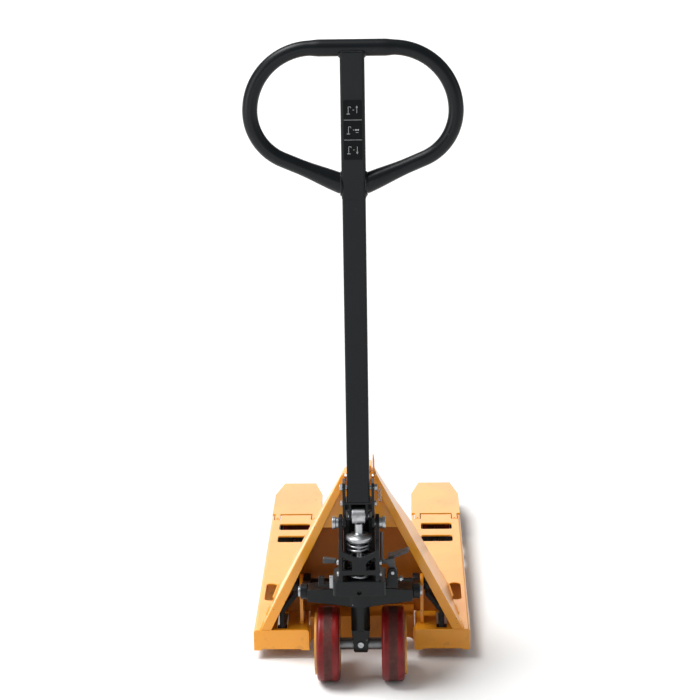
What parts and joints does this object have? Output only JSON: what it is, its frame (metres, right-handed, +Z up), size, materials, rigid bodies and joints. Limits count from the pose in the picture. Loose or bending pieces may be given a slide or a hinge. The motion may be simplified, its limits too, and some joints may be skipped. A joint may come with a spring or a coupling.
{
  "type": "pallet_jack",
  "caption": "Manual pallet jack with two forks, an A-shaped frame, a steering hydraulic pump unit on twin wheels, a rocker linkage to load rollers and a tilting drawbar with a D-shaped loop",
  "frame": {"origin": "on the floor, in the middle of the plan outline", "axes": "+X to the operator's right, +Y towards the fork tips, +Z up"},
  "size_m": [0.52, 1.314, 1.504],
  "materials": {
    "orange_paint": "gloss enamel with light orange peel, scuffs and rust at edges",
    "black_paint": "satin black enamel, worn at edges",
    "grip_coat": "smooth satin-gloss black coating",
    "bright_steel": "zinc-plated and turned steel, lightly oiled",
    "polished_steel": "ground and polished steel",
    "grey_steel": "grey coated steel",
    "red_pu": "dark red polyurethane, satin with dusty track",
    "yellow_rim": "amber-yellow enamel, dusty",
    "label_film": "pale yellow printed film without lettering",
    "black_label": "glossy black film with white pictograms"
  },
  "bodies": {
    "chassis": {"left_fork": "orange_paint", "right_fork": "orange_paint", "left_fork_tip": "orange_paint", "right_fork_tip": "orange_paint", "left_rail": "orange_paint", "right_rail": "orange_paint", "head_gusset": "orange_paint", "frame_head": "orange_paint", "parking_hook": "orange_paint", "back_plate": "orange_paint", "cross_member": "orange_paint", "rail_label": "label_film", "rocker_bearings": "orange_paint", "frame_pins": "bright_steel"},
    "beam": {"crossbeam": "black_paint", "thrust_bearing": "bright_steel"},
    "rockers": {"rocker_shaft": "black_paint", "rocker_arms": "black_paint", "rocker_cranks": "black_paint", "arm_pins": "bright_steel", "rod_pins": "bright_steel"},
    "left_rod": {"left_push_rod": "black_paint"},
    "right_rod": {"right_push_rod": "black_paint"},
    "left_frame": {"left_roller_frame": "black_paint", "left_roller_axle": "bright_steel"},
    "right_frame": {"right_roller_frame": "black_paint", "right_roller_axle": "bright_steel"},
    "left_roller": {"left_load_roller": "red_pu"},
    "right_roller": {"right_load_roller": "red_pu"},
    "pump": {"pump_body": "black_paint", "pump_cage": "black_paint", "steer_strut": "black_paint", "wheel_axle": "bright_steel", "strut_screw": "bright_steel", "pump_bolts": "bright_steel", "pivot_pins": "bright_steel", "release_bracket": "black_paint", "side_stud": "bright_steel"},
    "lift_ram": {"ram": "polished_steel"},
    "left_wheel": {"left_tyre": "red_pu", "left_rim": "yellow_rim", "left_wheel_bearings": "bright_steel"},
    "right_wheel": {"right_tyre": "red_pu", "right_rim": "yellow_rim", "right_wheel_bearings": "bright_steel"},
    "drawbar": {"handle_shaft": "black_paint", "handle_loop": "grip_coat", "handle_yoke": "black_paint", "handle_bolts": "bright_steel", "retaining_chain": "bright_steel", "handle_label": "black_label", "cam_pin": "bright_steel"},
    "cam": {"cam_roller": "bright_steel"},
    "piston": {"pump_piston": "polished_steel", "return_spring": "bright_steel"},
    "finger": {"finger_lever": "black_paint"},
    "control": {"control_rod": "bright_steel"},
    "pedal": {"release_pedal": "grey_steel"},
    "link": {"release_rod": "grey_steel"}
  },
  "joints": [
    {"name": "lift", "type": "slide", "parent": "chassis", "child": "beam", "axis": [0, 0, -1], "range_m": [0, 0.115]},
    {"name": "rocker_turn", "type": "hinge", "parent": "chassis", "child": "rockers", "pos_m": [0, -0.381, 0.168], "axis": [1, 0, 0], "range_deg": [0, 35.8]},
    {"name": "steer", "type": "hinge", "parent": "beam", "child": "pump", "pos_m": [0, -0.555, 0.24], "axis": [0, 0, 1], "range_deg": [-90, 90]},
    {"name": "ram_rise", "type": "slide", "parent": "pump", "child": "lift_ram", "axis": [0, 0, 1], "range_m": [0, 0.1151]},
    {"name": "left_wheel_spin", "type": "hinge", "parent": "pump", "child": "left_wheel", "pos_m": [-0.0755, -0.555, 0.0875], "axis": [1, 0, 0], "continuous": true},
    {"name": "right_wheel_spin", "type": "hinge", "parent": "pump", "child": "right_wheel", "pos_m": [0.0755, -0.555, 0.0875], "axis": [1, 0, 0], "continuous": true},
    {"name": "drawbar_tilt", "type": "hinge", "parent": "pump", "child": "drawbar", "pos_m": [0, -0.596, 0.402], "axis": [1, 0, 0], "range_deg": [0, 75], "stiffness_Nm_per_rad": 10, "springref_deg": -29.79},
    {"name": "cam_spin", "type": "hinge", "parent": "drawbar", "child": "cam", "pos_m": [0, -0.619, 0.4275], "axis": [1, 0, 0], "continuous": true},
    {"name": "piston_stroke", "type": "slide", "parent": "pump", "child": "piston", "axis": [0, 0, -1], "range_m": [0, 0.0415], "deforming": ["return_spring"]},
    {"name": "finger_squeeze", "type": "hinge", "parent": "drawbar", "child": "finger", "pos_m": [0, -0.573, 1.392], "axis": [1, 0, 0], "range_deg": [0, 12], "stiffness_Nm_per_rad": 2, "springref_deg": -11.46},
    {"name": "control_rod_drop", "type": "slide", "parent": "drawbar", "child": "control", "axis": [0, 0, -1], "range_m": [0, 0.005]},
    {"name": "pedal_press", "type": "hinge", "parent": "pump", "child": "pedal", "pos_m": [0.076, -0.598, 0.284], "axis": [0, 1, 0], "range_deg": [0, 6], "stiffness_Nm_per_rad": 5, "springref_deg": -5.73},
    {"name": "link_rise", "type": "slide", "parent": "pump", "child": "link", "axis": [0, 0, 1], "range_m": [0, 0.003]},
    {"name": "left_rod_swing", "type": "hinge", "parent": "rockers", "child": "left_rod", "pos_m": [-0.192, -0.41839, 0.05187], "axis": [1, 0, 0], "range_deg": [-40.6, 0]},
    {"name": "left_frame_swing", "type": "hinge", "parent": "chassis", "child": "left_frame", "pos_m": [-0.193, 0.542, 0.052], "axis": [1, 0, 0], "range_deg": [0, 56.2]},
    {"name": "left_roller_spin", "type": "hinge", "parent": "left_frame", "child": "left_roller", "pos_m": [-0.193, 0.39321, 0.033], "axis": [1, 0, 0], "continuous": true},
    {"name": "right_rod_swing", "type": "hinge", "parent": "rockers", "child": "right_rod", "pos_m": [0.192, -0.41839, 0.05187], "axis": [1, 0, 0], "range_deg": [-40.6, 0]},
    {"name": "right_frame_swing", "type": "hinge", "parent": "chassis", "child": "right_frame", "pos_m": [0.193, 0.542, 0.052], "axis": [1, 0, 0], "range_deg": [0, 56.2]},
    {"name": "right_roller_spin", "type": "hinge", "parent": "right_frame", "child": "right_roller", "pos_m": [0.193, 0.39321, 0.033], "axis": [1, 0, 0], "continuous": true}
  ],
  "couplings": [
    {"joint": "rocker_turn", "follows": "lift", "rad_per_m": 5.4165},
    {"joint": "ram_rise", "follows": "lift", "ratio": 1},
    {"joint": "left_rod_swing", "follows": "lift", "rad_per_m": -6.0965},
    {"joint": "right_rod_swing", "follows": "lift", "rad_per_m": -6.0965},
    {"joint": "left_frame_swing", "follows": "lift", "rad_per_m": 8.502},
    {"joint": "right_frame_swing", "follows": "lift", "rad_per_m": 8.502},
    {"joint": "piston_stroke", "follows": "drawbar_tilt", "m_per_rad": 0.0314},
    {"joint": "control_rod_drop", "follows": "finger_squeeze", "m_per_rad": 0.0235},
    {"joint": "link_rise", "follows": "pedal_press", "m_per_rad": 0.026}
  ]
}
